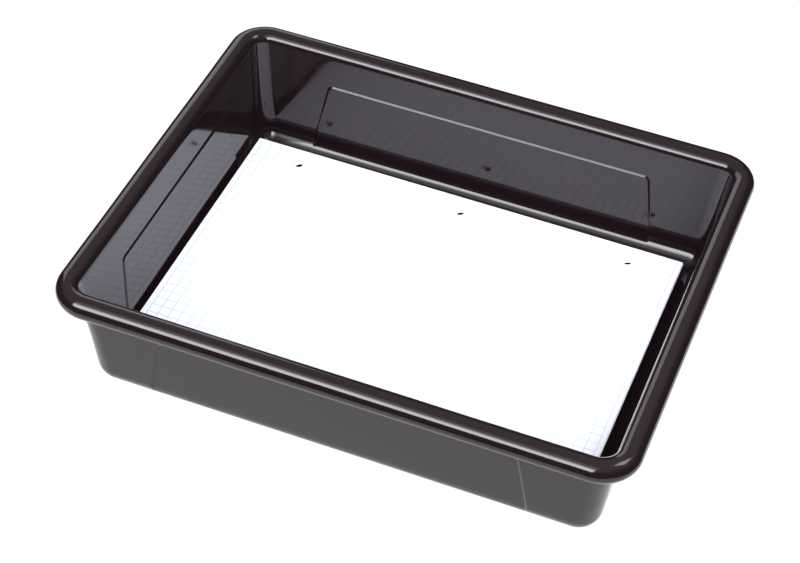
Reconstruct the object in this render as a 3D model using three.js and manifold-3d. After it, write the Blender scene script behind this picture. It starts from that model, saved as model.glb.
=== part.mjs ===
// Developing tray: a deep moulded tray with drafted walls, a rolled bead round its rim and a shallow
// panel pressed into each wall, holding a thin loose pile of punched paper on the ribs of its floor.
// Millimetres, +X along the long walls, +Y to the back, +Z up, origin in the middle of the underside.
import * as THREE from 'three';
import { mergeVertices } from 'three/addons/utils/BufferGeometryUtils.js';
import Module from 'manifold-3d';

const wasm = await Module();
wasm.setup();

// ---------------------------------------------------------------- driving dimensions

const DEG = Math.PI / 180;

// Walls. The half sizes are those of the inner wall faces, run down to the underside.
const HALF_X = 146.1;
const HALF_Y = 115.4;
const DRAFT = 6 * DEG;
const WALL = 2.5;
const WALL_TOP = 71.4;              // where the inner wall face runs into the rolled rim

// Rolled rim: a round bead that curls out and back to within a narrow slit of the wall.
const BEAD_RADIUS = 6.9;
const BEAD_END = -110 * DEG;
const BEAD_STEPS = 15;

// Floor and the round between floor and walls. Inside and outside rounds share a centre.
const FLOOR = 2.5;
const ROUND_INSIDE = 12;
const ROUND_OUTSIDE = ROUND_INSIDE + WALL;
const ROUND_STEPS = 6;

// Upright corners, seen from above: a little tighter towards the rim.
const CORNER_INSIDE = { low: 10, high: 9.5 };
const CORNER_OUTSIDE = { low: 14, high: 12 };
const CORNER_TAPER_START = 36;
const CORNER_SMALLEST = 1.5;
const CORNER_STEPS = 8;

// Pressed panels, one in each wall, stepped inwards. Their sides lean, wider towards the floor.
const PANEL_STEP = 0.85;
const PANEL_EDGE = 1.0;
const PANEL_TOP = 53.5;
const PANEL_LOW = 13.5;
const PANEL_HALF = { long: { top: 104.4, low: 111.4 }, short: { top: 71, low: 76.5 } };

// Floor ribs along X that hold the paper clear of the floor.
const RIB = { halfLength: 118, width: 3.5, top: 8.5, sunk: 1.0, pitch: 32, count: 6 };

// Paper: letter size, three holes along the back edge, in three loose sheaves with air between.
// The sheets lower down were punched a little off, and `slip` is each sheaf's share of that error.
const PAPER = { length: 279.4, width: 215.9, holeRadius: 3.3, holeInset: 12.7, holePitch: 107.95 };
const SHEAF = 0.35;
const SHEAF_GAP = 0.3;
const PAPER_TURN = -0.18 * DEG;
const PUNCH_SLIP = { x: 1.3, y: -2.4, turn: -0.27 * DEG };
const SHEAVES = [
  { name: 'lower_sheets', x: -3.3, y: -4.4, slip: 1 },
  { name: 'middle_sheets', x: -3.6, y: -4.7, slip: 0.6 },
  { name: 'top_sheets', x: -3.8, y: -4.9, slip: 0 },
];

// ---------------------------------------------------------------- materials

const glossBlack = new THREE.MeshStandardMaterial({ color: 0x1a1517, roughness: 0.16, metalness: 0 });
const paperWhite = new THREE.MeshStandardMaterial({ color: 0xf3f4f2, roughness: 0.85, metalness: 0 });

// ---------------------------------------------------------------- tray

const lerp = (from, to, t) => from + (to - from) * t;
const clamp01 = (t) => Math.min(1, Math.max(0, t));

// Radius of the upright corners at a height.
function cornerAt(corner, z) {
  return lerp(corner.low, corner.high, clamp01((z - CORNER_TAPER_START) / (WALL_TOP - CORNER_TAPER_START)));
}

// Half width of a wall's panel at a height.
function panelHalf(half, z) {
  return lerp(half.low, half.top, clamp01((z - PANEL_LOW) / (PANEL_TOP - PANEL_LOW)));
}

// One closed level outline: a rounded rectangle `out` outside the reference walls, whose panel
// stretches are set back by `step`. Each side runs anticlockwise and is followed by its corner.
function outline({ out, z, corner, step }) {
  const points = [];
  const sides = [
    { along: HALF_Y + out, away: HALF_X + out, half: PANEL_HALF.short },
    { along: HALF_X + out, away: HALF_Y + out, half: PANEL_HALF.long },
  ];
  for (let side = 0; side < 4; side += 1) {
    const { along, away, half } = sides[side % 2];
    const turn = (side * Math.PI) / 2;
    const place = (a, b) => points.push(new THREE.Vector3(
      a * Math.cos(turn) - b * Math.sin(turn), a * Math.sin(turn) + b * Math.cos(turn), z));
    const wide = panelHalf(half, z);
    place(away, -wide);
    place(away - step, -wide + PANEL_EDGE);
    place(away - step, wide - PANEL_EDGE);
    place(away, wide);
    for (let i = 0; i <= CORNER_STEPS; i += 1) {
      const angle = (i / CORNER_STEPS) * (Math.PI / 2);
      place(away - corner + corner * Math.cos(angle), along - corner + corner * Math.sin(angle));
    }
  }
  return points;
}

// The levels of one wall face from the flat of the floor or base up to `top`, lowest first.
// `shift` is the face's distance outside the inner wall face, measured level.
function faceLevels({ round, flat, shift, corner, top }) {
  const centreZ = FLOOR + ROUND_INSIDE;
  const wallZ = centreZ - ROUND_INSIDE * Math.sin(DRAFT);
  const centreOut = wallZ * Math.tan(DRAFT) - ROUND_INSIDE * Math.cos(DRAFT);
  const roundTop = centreOut + round * Math.cos(DRAFT);
  const levels = [];
  for (let i = 0; i <= ROUND_STEPS; i += 1) {
    const t = i / ROUND_STEPS;
    const angle = lerp(-90 * DEG, -DRAFT, t);
    const out = centreOut + round * Math.cos(angle);
    const z = i === 0 ? flat : centreZ + round * Math.sin(angle);
    const radius = Math.max(CORNER_SMALLEST, corner.low + out - roundTop);
    levels.push({ out, z, corner: radius, step: PANEL_STEP * clamp01(2 * t - 1) });
  }
  const wallLevel = (z, step) => ({ out: z * Math.tan(DRAFT) + shift, z, corner: cornerAt(corner, z), step });
  levels.push(wallLevel(CORNER_TAPER_START, PANEL_STEP));
  levels.push(wallLevel(PANEL_TOP - PANEL_EDGE, PANEL_STEP));
  levels.push(wallLevel(PANEL_TOP, 0));
  levels.push(wallLevel(top, 0));
  return levels;
}

// The levels round the bead on a circle of `radius`, from where it leaves the wall to its lip.
function beadLevels(radius, corner) {
  const centreOut = WALL_TOP * Math.tan(DRAFT) + BEAD_RADIUS * Math.cos(DRAFT);
  const centreZ = WALL_TOP - BEAD_RADIUS * Math.sin(DRAFT);
  const start = Math.PI - DRAFT;
  const wallOut = centreOut + radius * Math.cos(start);
  const levels = [];
  for (let i = 1; i <= BEAD_STEPS; i += 1) {
    const angle = lerp(start, BEAD_END, i / BEAD_STEPS);
    const out = centreOut + radius * Math.cos(angle);
    const z = centreZ + radius * Math.sin(angle);
    levels.push({ out, z, corner: corner.high + out - wallOut, step: 0 });
  }
  return levels;
}

// A closed skin over a run of level outlines, capped flat at its first and last outline.
function skin(levels) {
  const rows = levels.map(outline);
  const count = rows[0].length;
  const vertices = rows.flat();
  const capCentre = (row) => vertices.push(new THREE.Vector3(0, 0, row[0].z)) - 1;
  const floorCentre = capCentre(rows[0]);
  const baseCentre = capCentre(rows[rows.length - 1]);
  const lastRow = (rows.length - 1) * count;
  const index = [];
  for (let j = 0; j < count; j += 1) {
    const next = (j + 1) % count;
    index.push(floorCentre, j, next);
    index.push(baseCentre, lastRow + next, lastRow + j);
    for (let row = 0; row < lastRow; row += count) {
      index.push(row + j, row + count + j, row + count + next);
      index.push(row + j, row + count + next, row + next);
    }
  }
  const geometry = new THREE.BufferGeometry().setFromPoints(vertices);
  geometry.setIndex(index);
  return geometry;
}

function toManifold(geometry) {
  const bare = geometry.clone();
  for (const name of ['normal', 'uv']) {
    if (bare.hasAttribute(name)) bare.deleteAttribute(name);
  }
  const merged = mergeVertices(bare, 1e-4);
  return new wasm.Manifold(new wasm.Mesh({
    numProp: 3,
    vertProperties: Float32Array.from(merged.attributes.position.array),
    triVerts: Uint32Array.from(merged.index.array),
  }));
}

function toGeometry(solid) {
  const { vertProperties, triVerts } = solid.getMesh();
  const geometry = new THREE.BufferGeometry();
  geometry.setAttribute('position', new THREE.BufferAttribute(vertProperties, 3));
  geometry.setIndex(new THREE.BufferAttribute(triVerts, 1));
  geometry.computeVertexNormals();
  return geometry;
}

function traySkin() {
  const inner = faceLevels({
    round: ROUND_INSIDE, flat: FLOOR, shift: 0, corner: CORNER_INSIDE, top: WALL_TOP,
  });
  const outer = faceLevels({
    round: ROUND_OUTSIDE, flat: 0, shift: WALL / Math.cos(DRAFT), corner: CORNER_OUTSIDE,
    top: WALL_TOP - WALL * Math.sin(DRAFT),
  });
  const beadOver = beadLevels(BEAD_RADIUS, CORNER_INSIDE);
  const beadUnder = beadLevels(BEAD_RADIUS - WALL, CORNER_OUTSIDE);
  return skin([...inner, ...beadOver, ...beadUnder.reverse(), ...outer.reverse()]);
}

function rib(row) {
  const foot = FLOOR - RIB.sunk;
  const geometry = new THREE.BoxGeometry(2 * RIB.halfLength, RIB.width, RIB.top - foot);
  geometry.translate(0, (row - (RIB.count - 1) / 2) * RIB.pitch, (RIB.top + foot) / 2);
  return geometry;
}

function tray() {
  let solid = toManifold(traySkin());
  for (let row = 0; row < RIB.count; row += 1) {
    solid = solid.add(toManifold(rib(row)));
  }
  const mesh = new THREE.Mesh(toGeometry(solid), glossBlack);
  mesh.name = 'tray';
  return mesh;
}

// ---------------------------------------------------------------- paper

// Centre of one of the three holes, at -1, 0 or 1 along the back edge.
function holeCentre(place, slip) {
  const centre = new THREE.Vector2(place * PAPER.holePitch, PAPER.width / 2 - PAPER.holeInset);
  centre.rotateAround(new THREE.Vector2(), slip * PUNCH_SLIP.turn);
  return centre.add(new THREE.Vector2(slip * PUNCH_SLIP.x, slip * PUNCH_SLIP.y));
}

// One sheaf, flat, with its holes along its back edge. `level` counts the sheaves from the ribs up.
function sheaf({ name, x, y, slip }, level) {
  const halfLength = PAPER.length / 2;
  const halfWidth = PAPER.width / 2;
  const sheet = new THREE.Shape();
  sheet.moveTo(-halfLength, -halfWidth);
  sheet.lineTo(halfLength, -halfWidth);
  sheet.lineTo(halfLength, halfWidth);
  sheet.lineTo(-halfLength, halfWidth);
  sheet.closePath();
  for (const place of [-1, 0, 1]) {
    const centre = holeCentre(place, slip);
    const hole = new THREE.Path();
    hole.absarc(centre.x, centre.y, PAPER.holeRadius, 0, 2 * Math.PI, true);
    sheet.holes.push(hole);
  }
  const geometry = new THREE.ExtrudeGeometry(sheet, { depth: SHEAF, bevelEnabled: false, curveSegments: 12 });
  const mesh = new THREE.Mesh(geometry, paperWhite);
  mesh.name = name;
  mesh.rotation.z = PAPER_TURN;
  mesh.position.set(x, y, RIB.top + SHEAF_GAP + level * (SHEAF + SHEAF_GAP));
  return mesh;
}

// ---------------------------------------------------------------- assembly

const object = new THREE.Group();
object.add(tray());
SHEAVES.forEach((sheets, level) => object.add(sheaf(sheets, level)));

export default object;
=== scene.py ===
"""Looks of the developing tray: a gloss black moulded tray holding a thin loose pile of squared paper.

The tray is drawn again as one fine skin of level outlines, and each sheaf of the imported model
becomes a few thin sheets. Lengths are in millimetres until a mesh is made, which is in metres.
"""
import math

import bpy
import numpy as np
from mathutils import Matrix, Vector, noise
from mathutils.geometry import delaunay_2d_cdt


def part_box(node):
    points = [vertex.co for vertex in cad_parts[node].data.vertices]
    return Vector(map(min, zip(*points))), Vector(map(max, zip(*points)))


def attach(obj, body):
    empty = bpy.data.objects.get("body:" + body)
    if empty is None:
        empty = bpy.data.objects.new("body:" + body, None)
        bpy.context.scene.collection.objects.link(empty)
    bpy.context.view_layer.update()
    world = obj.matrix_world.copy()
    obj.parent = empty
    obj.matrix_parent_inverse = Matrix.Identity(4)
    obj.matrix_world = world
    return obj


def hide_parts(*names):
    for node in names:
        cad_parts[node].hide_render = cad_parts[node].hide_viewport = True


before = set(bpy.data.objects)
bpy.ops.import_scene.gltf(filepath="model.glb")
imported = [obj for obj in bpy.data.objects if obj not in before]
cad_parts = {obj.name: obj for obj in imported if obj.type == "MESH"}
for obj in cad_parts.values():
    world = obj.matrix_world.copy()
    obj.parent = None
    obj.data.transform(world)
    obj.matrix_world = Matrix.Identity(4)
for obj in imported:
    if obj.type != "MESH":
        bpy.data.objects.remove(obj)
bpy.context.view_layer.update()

MM = 0.001

# ---------------------------------------------------------------- sizes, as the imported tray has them

DRAFT = math.radians(6)
WALL = 2.5
WALL_TOP = 71.4
BEAD_RADIUS = 6.9
BEAD_END = math.radians(-110)
BEAD_OUT = WALL_TOP * math.tan(DRAFT) + BEAD_RADIUS * math.cos(DRAFT)
BEAD_Z = WALL_TOP - BEAD_RADIUS * math.sin(DRAFT)
HALF_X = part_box("tray")[1].x / MM - BEAD_OUT - BEAD_RADIUS
HALF_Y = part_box("tray")[1].y / MM - BEAD_OUT - BEAD_RADIUS

FLOOR = 2.5
ROUND_INSIDE = 12.0
ROUND_OUTSIDE = ROUND_INSIDE + WALL
ROUND_ROWS = 25
CORNER_INSIDE = (10.0, 9.5)          # low on the wall, and at the rim
CORNER_OUTSIDE = (14.0, 12.0)
CORNER_TAPER_START = 36.0
CORNER_SMALLEST = 1.5

PANEL_STEP = 0.85
PANEL_EDGE = 1.5
PANEL_TOP = 53.5
PANEL_LOW = 13.5
PANEL_ROUND = 3.5
PANEL_HALF = {"long": (104.4, 111.4), "short": (71.0, 76.5)}     # at its top, and low down
LEDGE_ROWS = (PANEL_TOP - 6, PANEL_TOP + 0.5)                    # heights between which rows are fine
FINE_ROW = 0.2
LOWER_ROW = 4.0
UPPER_ROW = 3.0

RIB_HALF_LENGTH = 118.0
RIB_WIDTH = 3.5
RIB_TOP = 8.5
RIB_SUNK = 1.0
RIB_PITCH = 32.0
RIB_COUNT = 6

SEAM_X = 114.0                       # faint mould lines across the long rims, at each end
SEAM_WIDTH = 0.45
SEAM_DEPTH = 0.16
SEAM_REACH = 6.0                     # how far the mould lines run down from the top of the wall

RIPPLE_SIZE = 55.0
RIPPLE_DEPTH = 0.10

# Paper, letter size with three holes, ruled in quarter inch squares.
PAPER_LENGTH = 279.4
PAPER_WIDTH = 215.9
HOLE_RADIUS = 3.3
HOLE_INSET = 12.7
HOLE_PITCH = 107.95
SQUARE = 6.35
LINE_HALF = 0.15
RULED_EDGE = (2.9, 2.6)              # plain edge outside the ruling, at the sides and at front and back
SHEET_THICKNESS = 0.09
SHEETS_PER_SHEAF = 5
SHEAF_RISE = 0.55
PAPER_TURN = math.radians(-0.18)
FAN = (0.1, -0.3, math.radians(0.02))       # how far a sheaf fans out from its lowest sheet to its top

# The holes of the sheets lower down sit a little off, each sheaf by its share of this move and turn.
PUNCH_SLIP = (1.3, -2.4, math.radians(-0.27))
PUNCH_SHARE = {"lower_sheets": 1.0, "middle_sheets": 0.6, "top_sheets": 0.0}

# ---------------------------------------------------------------- small helpers


def ramp(value, low, high):
    """0 below low, 1 above high and straight between."""
    return np.clip((np.asarray(value, float) - low) / (high - low), 0, 1)


def smooth(t):
    return t * t * (3 - 2 * t)


def spaced(start, end, step):
    """Even steps from start to end, with both ends."""
    return np.linspace(start, end, max(2, round(abs(end - start) / step) + 1))


def make_object(name, vertices, faces, material, smooth_angle=40):
    """A mesh object from points in millimetres, shaded smooth except at edges past smooth_angle."""
    mesh = bpy.data.meshes.new(name)
    mesh.from_pydata([tuple(v) for v in np.asarray(vertices) * MM], [], faces)
    mesh.validate()
    mesh.materials.append(material)
    mesh.shade_smooth()
    mesh.set_sharp_from_angle(angle=math.radians(smooth_angle))
    made = bpy.data.objects.new(name, mesh)
    bpy.context.scene.collection.objects.link(made)
    return made


def node_material(name):
    """A new material with its node tree, its links and its Principled shader."""
    material = bpy.data.materials.new(name)
    material.use_nodes = True
    nodes = material.node_tree.nodes
    return material, nodes, material.node_tree.links, nodes["Principled BSDF"]


# ---------------------------------------------------------------- materials


def gloss_plastic():
    """Gloss black moulding: a clean shine over a faint flow ripple, specks and fine rub marks."""
    material, nodes, links, shader = node_material("gloss_plastic")
    shader.inputs["IOR"].default_value = 1.5
    place = nodes.new("ShaderNodeTexCoord").outputs["Object"]

    tint = nodes.new("ShaderNodeTexNoise")
    tint.inputs["Scale"].default_value = 9.0
    tint.inputs["Detail"].default_value = 3.0
    links.new(place, tint.inputs["Vector"])
    colours = nodes.new("ShaderNodeValToRGB")
    colours.color_ramp.elements[0].position = 0.3
    colours.color_ramp.elements[0].color = (0.0076, 0.0040, 0.0052, 1)
    colours.color_ramp.elements[1].position = 0.7
    colours.color_ramp.elements[1].color = (0.0100, 0.0056, 0.0070, 1)
    links.new(tint.outputs["Fac"], colours.inputs["Fac"])
    links.new(colours.outputs["Color"], shader.inputs["Base Color"])

    rub = nodes.new("ShaderNodeTexNoise")
    rub.inputs["Scale"].default_value = 34.0
    rub.inputs["Detail"].default_value = 7.0
    rub.inputs["Roughness"].default_value = 0.65
    links.new(place, rub.inputs["Vector"])
    shine = nodes.new("ShaderNodeMapRange")
    shine.inputs["From Min"].default_value = 0.35
    shine.inputs["From Max"].default_value = 0.75
    shine.inputs["To Min"].default_value = 0.045
    shine.inputs["To Max"].default_value = 0.16
    links.new(rub.outputs["Fac"], shine.inputs["Value"])
    links.new(shine.outputs["Result"], shader.inputs["Roughness"])

    ripple = nodes.new("ShaderNodeTexNoise")
    ripple.inputs["Scale"].default_value = 26.0
    ripple.inputs["Detail"].default_value = 1.5
    links.new(place, ripple.inputs["Vector"])
    wave = nodes.new("ShaderNodeBump")
    wave.inputs["Strength"].default_value = 0.35
    wave.inputs["Distance"].default_value = 0.00035
    links.new(ripple.outputs["Fac"], wave.inputs["Height"])

    specks = nodes.new("ShaderNodeTexVoronoi")
    specks.inputs["Scale"].default_value = 75.0
    links.new(place, specks.inputs["Vector"])
    pimple = nodes.new("ShaderNodeMapRange")
    pimple.inputs["From Min"].default_value = 0.0
    pimple.inputs["From Max"].default_value = 0.045
    pimple.inputs["To Min"].default_value = 1.0
    pimple.inputs["To Max"].default_value = 0.0
    links.new(specks.outputs["Distance"], pimple.inputs["Value"])
    dust = nodes.new("ShaderNodeBump")
    dust.inputs["Strength"].default_value = 0.25
    dust.inputs["Distance"].default_value = 0.0002
    links.new(pimple.outputs["Result"], dust.inputs["Height"])
    links.new(wave.outputs["Normal"], dust.inputs["Normal"])
    links.new(dust.outputs["Normal"], shader.inputs["Normal"])
    return material


def ruled_line(nodes, links, coordinate, last):
    """1 on the lines of a ruling SQUARE apart along one coordinate in metres, 0 between them. One of the
    lines lies at last millimetres."""
    squares_before = 30
    shifted = nodes.new("ShaderNodeMath")
    shifted.operation = "ADD"
    shifted.inputs[1].default_value = (SQUARE * squares_before - last) * MM
    links.new(coordinate, shifted.inputs[0])
    away = nodes.new("ShaderNodeMath")
    away.operation = "PINGPONG"
    away.inputs[1].default_value = SQUARE / 2 * MM
    links.new(shifted.outputs[0], away.inputs[0])
    line = nodes.new("ShaderNodeMapRange")
    line.interpolation_type = "SMOOTHSTEP"
    line.inputs["From Min"].default_value = LINE_HALF * MM
    line.inputs["From Max"].default_value = LINE_HALF * 2.2 * MM
    line.inputs["To Min"].default_value = 1.0
    line.inputs["To Max"].default_value = 0.0
    links.new(away.outputs[0], line.inputs["Value"])
    return line.outputs["Result"]


def multiply(nodes, links, first, second):
    """The product of two sockets."""
    product = nodes.new("ShaderNodeMath")
    product.operation = "MULTIPLY"
    links.new(first, product.inputs[0])
    links.new(second, product.inputs[1])
    return product.outputs[0]


def inside_margin(nodes, links, coordinate, low, high):
    """1 where one coordinate lies between low and high millimetres."""
    above = nodes.new("ShaderNodeMath")
    above.operation = "GREATER_THAN"
    above.inputs[1].default_value = low * MM
    links.new(coordinate, above.inputs[0])
    below = nodes.new("ShaderNodeMath")
    below.operation = "LESS_THAN"
    below.inputs[1].default_value = high * MM
    links.new(coordinate, below.inputs[0])
    return multiply(nodes, links, above.outputs[0], below.outputs[0])


def ruled_paper():
    """White writing paper with pale blue quarter inch squares, a plain margin and a faint tooth."""
    material, nodes, links, shader = node_material("ruled_paper")
    place = nodes.new("ShaderNodeTexCoord").outputs["Object"]
    split = nodes.new("ShaderNodeSeparateXYZ")
    links.new(place, split.inputs["Vector"])
    across, along = split.outputs["X"], split.outputs["Y"]

    right = PAPER_LENGTH / 2 - RULED_EDGE[0]
    back = PAPER_WIDTH / 2 - RULED_EDGE[1]
    upright = ruled_line(nodes, links, across, right)
    level = ruled_line(nodes, links, along, back)
    both = nodes.new("ShaderNodeMath")
    both.operation = "MAXIMUM"
    links.new(upright, both.inputs[0])
    links.new(level, both.inputs[1])
    frame_x = inside_margin(nodes, links, across, -right, right + LINE_HALF)
    frame_y = inside_margin(nodes, links, along, -back, back + LINE_HALF)
    ruling = multiply(nodes, links, both.outputs[0], multiply(nodes, links, frame_x, frame_y))

    ink = nodes.new("ShaderNodeMix")
    ink.data_type = "RGBA"
    ink.inputs["A"].default_value = (0.72, 0.73, 0.83, 1)
    ink.inputs["B"].default_value = (0.40, 0.50, 0.69, 1)
    links.new(ruling, ink.inputs["Factor"])
    links.new(ink.outputs["Result"], shader.inputs["Base Color"])

    tooth = nodes.new("ShaderNodeTexNoise")
    tooth.inputs["Scale"].default_value = 1400.0
    tooth.inputs["Detail"].default_value = 4.0
    links.new(place, tooth.inputs["Vector"])
    fibre = nodes.new("ShaderNodeBump")
    fibre.inputs["Strength"].default_value = 0.12
    fibre.inputs["Distance"].default_value = 0.00004
    links.new(tooth.outputs["Fac"], fibre.inputs["Height"])
    links.new(fibre.outputs["Normal"], shader.inputs["Normal"])
    finish = nodes.new("ShaderNodeMapRange")
    finish.inputs["To Min"].default_value = 0.68
    finish.inputs["To Max"].default_value = 0.85
    links.new(tooth.outputs["Fac"], finish.inputs["Value"])
    links.new(finish.outputs["Result"], shader.inputs["Roughness"])
    return material


# ---------------------------------------------------------------- tray


def corner_at(corner, z):
    low, high = corner
    return low + (high - low) * ramp(z, CORNER_TAPER_START, WALL_TOP)


def panel_half(half, z):
    top, low = half
    return low + (top - low) * ramp(z, PANEL_LOW, PANEL_TOP)


def face_levels(rounding, shift, corner, top):
    """Levels up one wall face, as rows of (out, z, corner radius, share of the panel's step)."""
    centre_z = FLOOR + ROUND_INSIDE
    wall_z = centre_z - ROUND_INSIDE * math.sin(DRAFT)
    centre_out = wall_z * math.tan(DRAFT) - ROUND_INSIDE * math.cos(DRAFT)
    angles = np.linspace(-math.pi / 2, -DRAFT, ROUND_ROWS)
    out = centre_out + rounding * np.cos(angles)
    radius = np.maximum(CORNER_SMALLEST, corner[0] + out - out[-1])
    share = smooth(ramp(angles, -math.pi / 4, -DRAFT))
    bend = np.column_stack([out, centre_z + rounding * np.sin(angles), radius, share])
    heights = np.concatenate([
        spaced(bend[-1, 1], LEDGE_ROWS[0], LOWER_ROW)[1:],
        spaced(*LEDGE_ROWS, FINE_ROW)[1:],
        spaced(LEDGE_ROWS[1], top, UPPER_ROW)[1:],
    ])
    wall = np.column_stack([
        heights * math.tan(DRAFT) + shift, heights, corner_at(corner, heights), np.ones_like(heights),
    ])
    return np.vstack([bend, wall])


def bead_levels(radius, corner, steps):
    """Levels round the bead, from where it leaves the wall to its lip."""
    angles = np.linspace(math.pi - DRAFT, BEAD_END, steps + 1)
    out = BEAD_OUT + radius * np.cos(angles)
    z = BEAD_Z + radius * np.sin(angles)
    return np.column_stack([out, z, corner[1] + out - out[0], np.zeros_like(out)])[1:]


def side_stations(along, corner, wide):
    """Distances along one straight side, packed closely where the panel's edges cross it."""
    end = along - corner
    near, far = wide + 2.0, wide - 8.0
    tail = np.linspace(end, near, 5)
    edge = np.linspace(near, far, 31)[1:]
    middle = np.linspace(far, -far, 25)[1:-1]
    half = np.concatenate([tail, edge])
    return np.concatenate([-half, middle[::-1], half[::-1]])


def panel_depth(station, z, wide):
    """How deep a point of a side lies in the panel's step, from 0 outside it to PANEL_STEP."""
    lean = math.atan((PANEL_HALF["long"][1] - PANEL_HALF["long"][0]) / (PANEL_TOP - PANEL_LOW))
    from_side = (wide - np.abs(station)) * math.cos(lean)
    from_top = np.full_like(station, PANEL_TOP - z)
    inset_side = np.maximum(PANEL_ROUND - from_side, 0)
    inset_top = np.maximum(PANEL_ROUND - from_top, 0)
    rounded = PANEL_ROUND - np.hypot(inset_side, inset_top)
    return PANEL_STEP * smooth(ramp(rounded, 0, PANEL_EDGE))


def outline(level):
    """One level outline, anticlockwise: four sides, each followed by its rounded corner."""
    out, z, corner, share = level
    rows = []
    corner_angles = np.linspace(0, math.pi / 2, 26)[1:-1]
    for side in range(4):
        long_side = side % 2 == 1
        along, away = (HALF_X + out, HALF_Y + out) if long_side else (HALF_Y + out, HALF_X + out)
        wide = float(panel_half(PANEL_HALF["long" if long_side else "short"], z))
        stations = side_stations(along, corner, wide)
        depth = away - share * panel_depth(stations, z, wide)
        arc_away = away - corner + corner * np.cos(corner_angles)
        arc_along = along - corner + corner * np.sin(corner_angles)
        a = np.concatenate([depth, arc_away])
        b = np.concatenate([stations, arc_along])
        turn = side * math.pi / 2
        x = a * math.cos(turn) - b * math.sin(turn)
        y = a * math.sin(turn) + b * math.cos(turn)
        rows.append(np.column_stack([x, y, np.full_like(a, z)]))
    return np.vstack(rows)


def rippled(points):
    """Points moved by a very shallow slow ripple, as a thin moulding has."""
    moved = points.copy()
    for i, p in enumerate(points):
        moved[i] += RIPPLE_DEPTH * np.array(noise.noise_vector(Vector(p) / RIPPLE_SIZE))
    return moved


def seamed(points):
    """Points with the fine mould lines pressed into the long rims."""
    near = np.exp(-((np.abs(points[:, 0]) - SEAM_X) / SEAM_WIDTH) ** 2)
    on_rim = (points[:, 2] > WALL_TOP - SEAM_REACH) & (np.abs(points[:, 1]) > HALF_Y)
    moved = points.copy()
    moved[:, 2] -= SEAM_DEPTH * near * on_rim
    return moved


def rib_shape(y, first):
    """One floor rib with a rounded back: its points, and faces numbered from first."""
    foot = FLOOR - RIB_SUNK
    curve = np.linspace(math.pi, 0, 9)
    half = RIB_WIDTH / 2
    ends = (-RIB_HALF_LENGTH, RIB_HALF_LENGTH)
    section = [(-half, foot)] + [
        (half * math.cos(a), RIB_TOP - half + half * math.sin(a)) for a in curve
    ] + [(half, foot)]
    count = len(section)
    points = [(x, y + across, z) for x in ends for across, z in section]
    faces = [list(range(first, first + count)), list(range(first + 2 * count - 1, first + count - 1, -1))]
    for i in range(count):
        j = (i + 1) % count
        faces.append([first + j, first + i, first + count + i, first + count + j])
    return points, faces


def tray(material):
    """The whole tray: its skin in level outlines, closed at floor and base, and the floor ribs."""
    inner = face_levels(ROUND_INSIDE, 0.0, CORNER_INSIDE, WALL_TOP)
    outer = face_levels(
        ROUND_OUTSIDE, WALL / math.cos(DRAFT), CORNER_OUTSIDE, WALL_TOP - WALL * math.sin(DRAFT))
    over = bead_levels(BEAD_RADIUS, CORNER_INSIDE, 72)
    under = bead_levels(BEAD_RADIUS - WALL, CORNER_OUTSIDE, 36)
    levels = np.vstack([inner, over, under[::-1], outer[::-1]])
    rows = [outline(level) for level in levels]
    count = len(rows[0])
    last = (len(rows) - 1) * count
    points = seamed(rippled(np.vstack(rows)))
    faces = [list(range(count)), list(range(last + count - 1, last - 1, -1))]
    for row in range(0, last, count):
        for j in range(count):
            after = (j + 1) % count
            faces.append([row + j, row + count + j, row + count + after, row + after])
    points = [tuple(p) for p in points]
    for i in range(RIB_COUNT):
        rib_points, rib_faces = rib_shape((i - (RIB_COUNT - 1) / 2) * RIB_PITCH, len(points))
        points += rib_points
        faces += rib_faces
    return make_object("tray_moulding", points, faces, material)


# ---------------------------------------------------------------- paper


def hole_centre(place, share):
    """Centre of one of the three holes, at -1, 0 or 1 along the back edge."""
    across, along, turn = PUNCH_SLIP
    centre = Vector((place * HOLE_PITCH, PAPER_WIDTH / 2 - HOLE_INSET))
    centre.rotate(Matrix.Rotation(share * turn, 2))
    return centre + share * Vector((across, along))


def punched_sheet(share):
    """A flat punched sheet as 2D points and triangles. share is its part of the punching error."""
    sides = 40
    clear_of_hole = HOLE_RADIUS * 1.3
    half_length, half_width = PAPER_LENGTH / 2, PAPER_WIDTH / 2
    grid = [
        Vector((x, y))
        for x in np.linspace(-half_length, half_length, 29)
        for y in np.linspace(-half_width, half_width, 23)
    ]
    centres = [hole_centre(place, share) for place in (-1, 0, 1)]
    grid = [p for p in grid if min((p - c).length for c in centres) > clear_of_hole]
    edges = []
    for centre in centres:
        first = len(grid)
        for i in range(sides):
            angle = 2 * math.pi * i / sides
            grid.append(centre + HOLE_RADIUS * Vector((math.cos(angle), math.sin(angle))))
            edges.append((first + i, first + (i + 1) % sides))
    points, _, faces, *_ = delaunay_2d_cdt(grid, edges, [], 0, 1e-6)

    def kept(face):
        middle = sum((points[i] for i in face), Vector((0, 0))) / len(face)
        return min((middle - c).length for c in centres) > HOLE_RADIUS * 0.98

    return points, [list(face) for face in faces if kept(face)]


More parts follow.
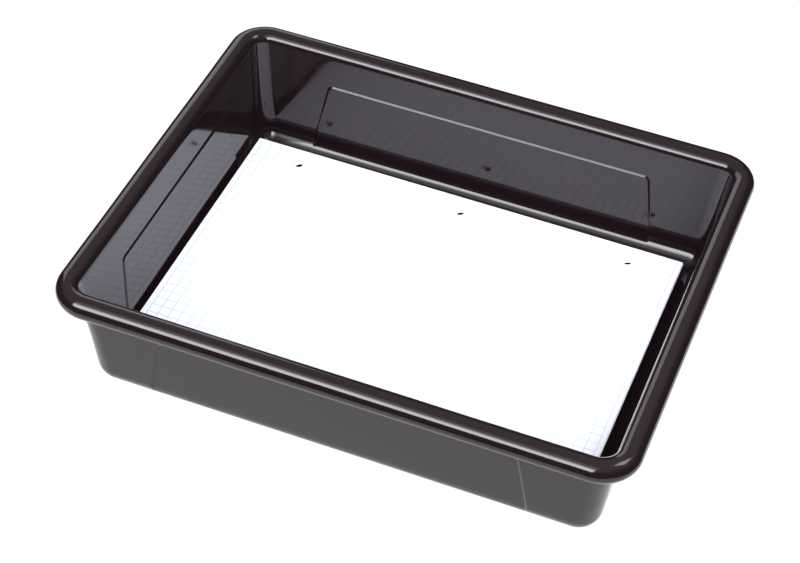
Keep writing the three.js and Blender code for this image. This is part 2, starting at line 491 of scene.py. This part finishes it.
def sheaf(node, material):
    """The thin sheets that stand for one CAD sheaf, fanned out a little."""
    low, high = (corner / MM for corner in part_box(node))
    centre = (low + high) / 2
    flat, faces = punched_sheet(PUNCH_SHARE[node])
    count = len(flat)
    vertices, all_faces = [], []
    for i in range(SHEETS_PER_SHEAF):
        part = i / (SHEETS_PER_SHEAF - 1) - 0.5
        turn = PAPER_TURN + part * FAN[2]
        base = low.z + i * (SHEAF_RISE - SHEET_THICKNESS) / (SHEETS_PER_SHEAF - 1) - centre.z
        first = len(vertices)
        for side in (0, 1):
            for p in flat:
                x = p.x * math.cos(turn) - p.y * math.sin(turn) + part * FAN[0]
                y = p.x * math.sin(turn) + p.y * math.cos(turn) + part * FAN[1]
                vertices.append((x, y, base + side * SHEET_THICKNESS))
        borders = []
        for a, b, c in faces:
            all_faces.append([first + c, first + b, first + a])
            all_faces.append([first + count + a, first + count + b, first + count + c])
            borders += [(a, b), (b, c), (c, a)]
        used = set(borders)
        for a, b in borders:
            if (b, a) not in used:
                all_faces.append([first + a, first + b, first + count + b, first + count + a])
    made = make_object(node.replace("sheets", "paper"), vertices, all_faces, material)
    made.location = centre * MM
    return made


# ---------------------------------------------------------------- the object

plastic = gloss_plastic()
paper = ruled_paper()

moulding = tray(plastic)
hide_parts("tray")
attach(moulding, "tray")

for node in PUNCH_SHARE:
    sheets = sheaf(node, paper)
    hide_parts(node)
    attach(sheets, node)

# ---------------------------------------------------------------- floor, light and camera


FLOOR_BOARD = (300.0, 270.0)         # half size of the white board
FLOOR_DROP = 0.3                     # how far below the underside it lies


def pale_floor():
    """A white board under the tray that glows a little, as an overexposed studio floor does. Past its
    edges the camera sees the white sky, but the tray reflects a dark room."""
    material, nodes, links, shader = node_material("studio_white")
    shader.inputs["Base Color"].default_value = (0.02, 0.02, 0.02, 1)
    shader.inputs["Emission Color"].default_value = (1, 1, 1, 1)
    shader.inputs["Emission Strength"].default_value = 1.08
    grain = nodes.new("ShaderNodeTexNoise")
    grain.inputs["Scale"].default_value = 3.0
    tone = nodes.new("ShaderNodeMapRange")
    tone.inputs["To Min"].default_value = 0.85
    tone.inputs["To Max"].default_value = 0.9
    links.new(grain.outputs["Fac"], tone.inputs["Value"])
    links.new(tone.outputs["Result"], shader.inputs["Roughness"])
    wide, deep = FLOOR_BOARD
    ground = [(x * wide, y * deep, -FLOOR_DROP) for x, y in ((-1, -1), (1, -1), (1, 1), (-1, 1))]
    floor = make_object("floor", ground, [[0, 1, 2, 3]], material)


def studio_sky():
    """White where the camera looks past the floor. In reflections and fill light it is a room with a
    pale ceiling over dark walls."""
    world = bpy.data.worlds.new("studio")
    bpy.context.scene.world = world
    world.use_nodes = True
    nodes, links = world.node_tree.nodes, world.node_tree.links
    room = nodes["Background"]
    room.inputs["Color"].default_value = (1.0, 0.98, 0.97, 1)
    heading = nodes.new("ShaderNodeSeparateXYZ")
    links.new(nodes.new("ShaderNodeTexCoord").outputs["Generated"], heading.inputs["Vector"])
    ceiling = nodes.new("ShaderNodeMapRange")
    ceiling.inputs["From Min"].default_value = 0.35
    ceiling.inputs["From Max"].default_value = 0.68
    ceiling.inputs["To Min"].default_value = 0.04
    ceiling.inputs["To Max"].default_value = 0.38
    links.new(heading.outputs["Z"], ceiling.inputs["Value"])
    links.new(ceiling.outputs["Result"], room.inputs["Strength"])
    white = nodes.new("ShaderNodeBackground")
    white.inputs["Color"].default_value = (1, 1, 1, 1)
    chosen = nodes.new("ShaderNodeMixShader")
    links.new(nodes.new("ShaderNodeLightPath").outputs["Is Camera Ray"], chosen.inputs["Fac"])
    links.new(room.outputs["Background"], chosen.inputs[1])
    links.new(white.outputs["Background"], chosen.inputs[2])
    links.new(chosen.outputs["Shader"], nodes["World Output"].inputs["Surface"])


def direction(azimuth, elevation):
    """The unit vector towards a place seen at an azimuth from -Y towards +X, and an elevation."""
    a, e = math.radians(azimuth), math.radians(elevation)
    return Vector((math.sin(a) * math.cos(e), -math.cos(a) * math.cos(e), math.sin(e)))


def softbox(name, azimuth, elevation, distance, size, power, mirrored=True):
    """A rectangular soft light aimed at the tray. size is its width and height in metres, and a light
    that is not mirrored lights the paper without showing in the gloss."""
    lamp = bpy.data.lights.new(name, "AREA")
    lamp.shape = "RECTANGLE"
    lamp.size, lamp.size_y = size
    lamp.energy = power
    made = bpy.data.objects.new(name, lamp)
    bpy.context.scene.collection.objects.link(made)
    made.visible_glossy = mirrored
    towards = direction(azimuth, elevation)
    made.location = towards * distance
    made.rotation_mode = "QUATERNION"
    made.rotation_quaternion = towards.to_track_quat("Z", "Y")


def camera():
    """A long lens from the front right, well above the tray, tipped a little about its axis."""
    azimuth, elevation, roll = 18.5, 44.06, 3.82
    distance = 1.2755
    paper_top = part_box("top_sheets")[1].z
    target = Vector((-0.01456, 0.01767, paper_top))
    lens = bpy.data.cameras.new("camera")
    lens.lens = 96.6
    lens.sensor_width = 36.0
    made = bpy.data.objects.new("camera", lens)
    bpy.context.scene.collection.objects.link(made)
    back = direction(azimuth, elevation)
    upright = back.to_track_quat("Z", "Y").to_matrix().to_4x4()
    made.matrix_world = Matrix.Translation(target + back * distance) @ upright @ Matrix.Rotation(
        math.radians(roll), 4, "Z")
    bpy.context.scene.camera = made


pale_floor()
studio_sky()
# The key has a hard lower edge and fades upwards, in three steps that meet edge to edge. The light from
# the back left makes the shine on the short rims, and the window makes the one on the front right corner.
softbox("key", -18, 34, 1.5, (1.3, 0.50), 25)
softbox("key_fade", -18, 47.6, 1.5, (1.3, 0.21), 4.5)
softbox("key_top", -18, 60, 1.5, (1.3, 0.44), 1.8)
softbox("back_left", 221, 26, 1.5, (1.1, 0.7), 4.0)
softbox("window", 106, 58, 1.5, (0.5, 0.5), 4)
softbox("fill", 80, 66, 1.0, (0.6, 0.6), 13, mirrored=False)
camera()
bpy.context.scene.view_settings.view_transform = "Standard"
